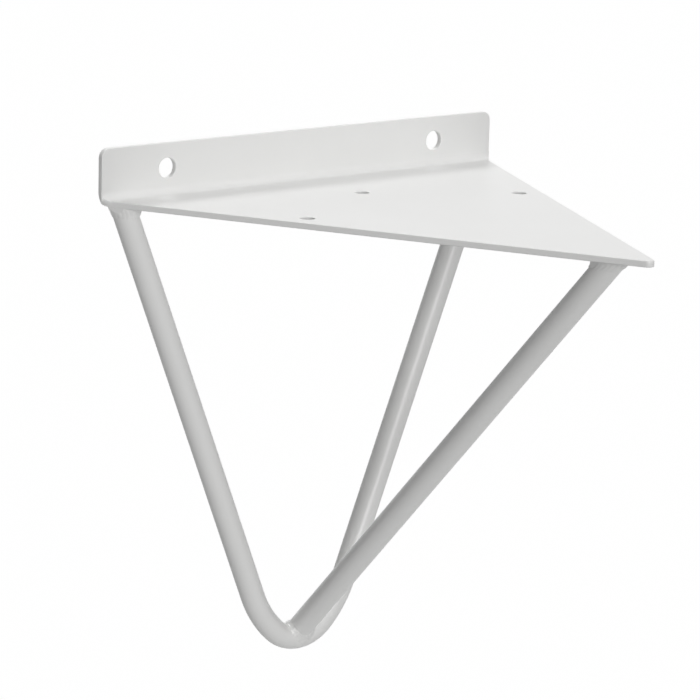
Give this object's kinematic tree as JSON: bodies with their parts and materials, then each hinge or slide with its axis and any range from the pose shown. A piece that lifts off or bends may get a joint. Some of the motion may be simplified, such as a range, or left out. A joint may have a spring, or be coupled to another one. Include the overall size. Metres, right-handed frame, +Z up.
{
  "type": "shelf bracket",
  "caption": "Wall bracket that carries a shelf: a triangular plate with an upturned wall flange, braced by a V-bent rear rod and a sloping front rod.",
  "frame": {"origin": "on the flange's back face, the plane that lies against the wall, midway between the two wall screw holes", "axes": "+X along the wall, +Y out of the flange's back face into the wall, +Z up"},
  "size_m": [0.16, 0.1625, 0.175],
  "materials": {
    "plate_coat": "smooth white powder coat with a soft gloss, on folded sheet steel",
    "rod_coat": "smooth white powder coat with a soft gloss, on round steel bar",
    "weld_coat": "the same white powder coat over rippled weld beads"
  },
  "bodies": {
    "root": {"folded_plate": "plate_coat", "rear_rod": "rod_coat", "front_rod": "rod_coat", "weld_rear_left": "weld_coat", "weld_rear_right": "weld_coat", "weld_front": "weld_coat", "weld_foot": "weld_coat"}
  },
  "joints": []
}
